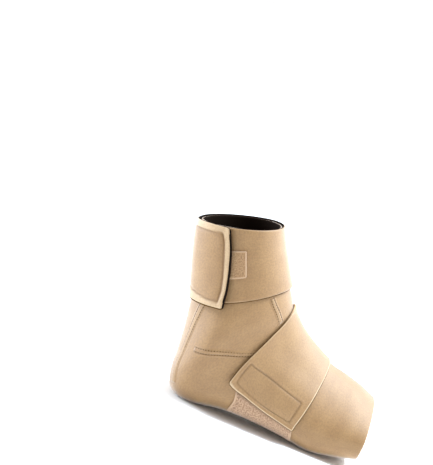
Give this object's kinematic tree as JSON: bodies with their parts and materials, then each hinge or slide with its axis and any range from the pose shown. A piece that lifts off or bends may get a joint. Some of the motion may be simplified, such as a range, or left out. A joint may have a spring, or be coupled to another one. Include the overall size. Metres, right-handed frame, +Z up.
{
  "type": "ankle foot compression wrap",
  "caption": "Soft open-toe ankle and foot compression wrap: a sewn cloth boot with a wide ankle band and an instep strap that close with hook tape on the outer side.",
  "frame": {"origin": "on the floor under the heel, in the flattened patch that the heel rests on", "axes": "+X towards the toes, +Y to the inner side of the right foot, +Z up from the floor"},
  "size_m": [0.2128, 0.0893, 0.1763],
  "materials": {
    "cloth": "matte brushed beige laminate with a dark inner face",
    "tape": "rose-beige loop tape with a speckled pile",
    "hook": "dark woven hook tape",
    "seam": "raised beige seam with two lines of stitches"
  },
  "bodies": {
    "root": {"boot_shell": "cloth", "ankle_band": "cloth", "ankle_hook": "hook", "ankle_patch": "tape", "instep_strap": "cloth", "instep_hook": "hook", "side_tape": "tape", "back_seam": "seam", "side_seam": "seam", "front_seam": "seam"}
  },
  "joints": []
}
